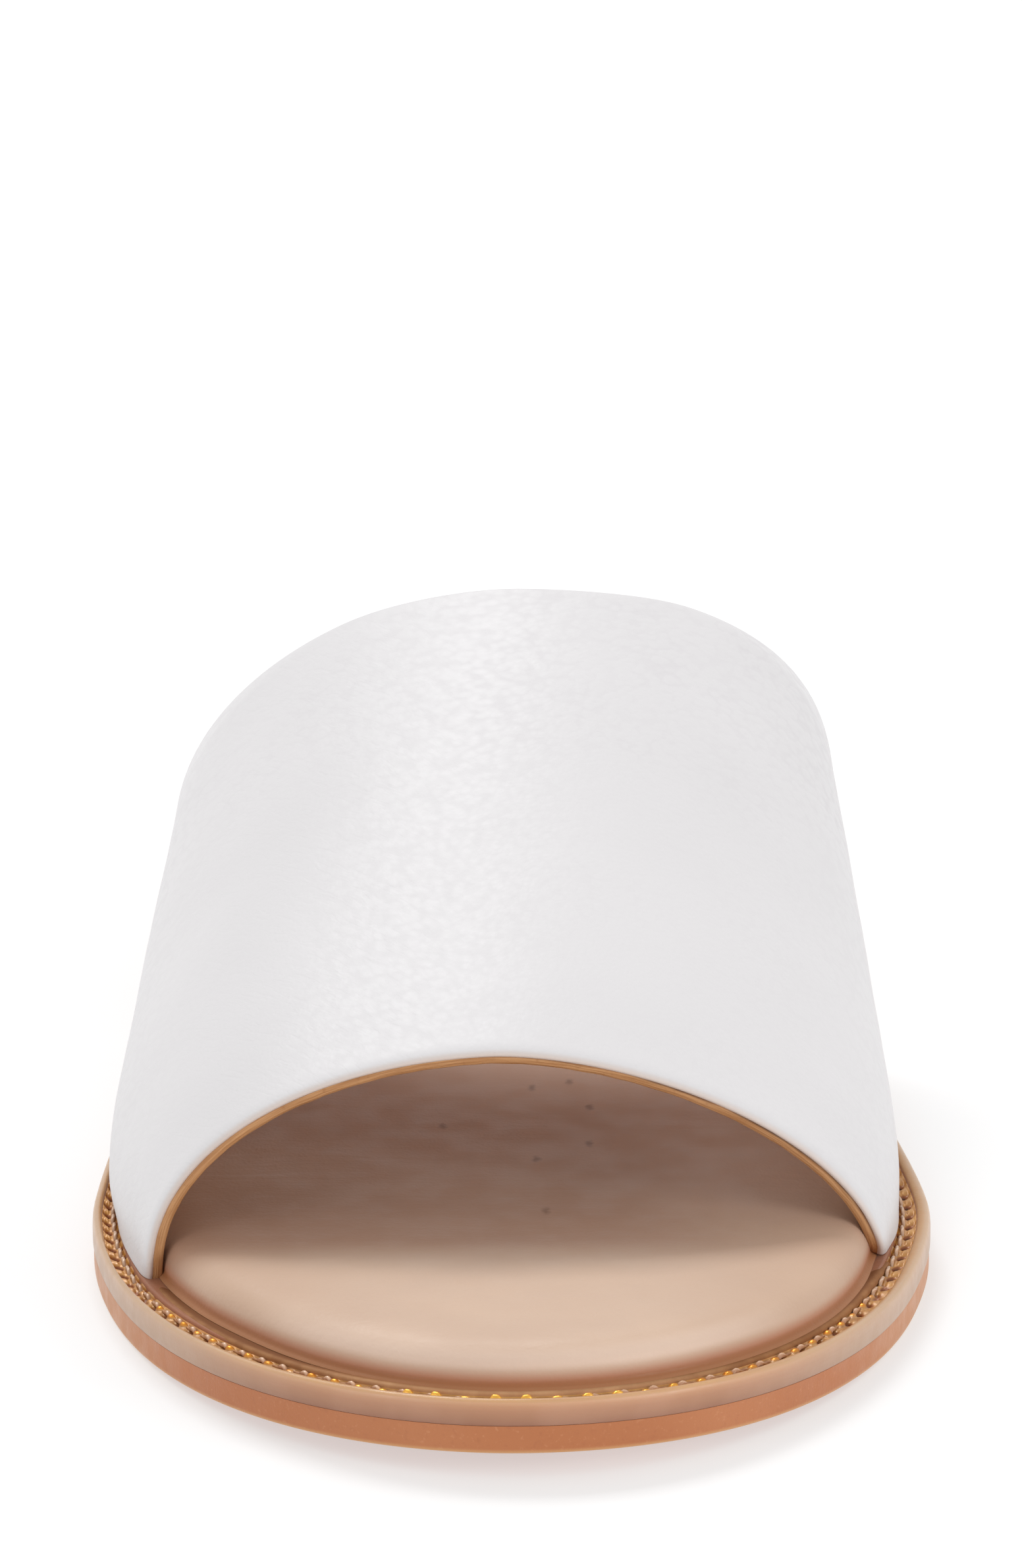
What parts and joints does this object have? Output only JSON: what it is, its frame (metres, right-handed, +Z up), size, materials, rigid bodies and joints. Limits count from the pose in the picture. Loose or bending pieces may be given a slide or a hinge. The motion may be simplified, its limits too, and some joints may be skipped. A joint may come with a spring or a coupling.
{
  "type": "slide sandal",
  "caption": "Women's leather slide sandal: one broad band over the instep, padded insole, welted midsole and a thin outsole with a low heel.",
  "frame": {"origin": "on the ground, under the middle of the sole's length and of its width at the ball", "axes": "-Y to the toe, +Y to the heel, +X to the medial side, +Z up; the sole rests on z = 0"},
  "size_m": [0.102, 0.262, 0.0667],
  "materials": {
    "outsole_rubber": "matt terracotta rubber",
    "welt_rubber": "satin honey rubber",
    "insole_leather": "smooth beige lining leather over thin foam",
    "upper_leather": "white pebbled leather"
  },
  "bodies": {
    "root": {"outsole": "outsole_rubber", "midsole_welt": "welt_rubber", "insole": "insole_leather", "upper_band": "upper_leather"}
  },
  "joints": []
}
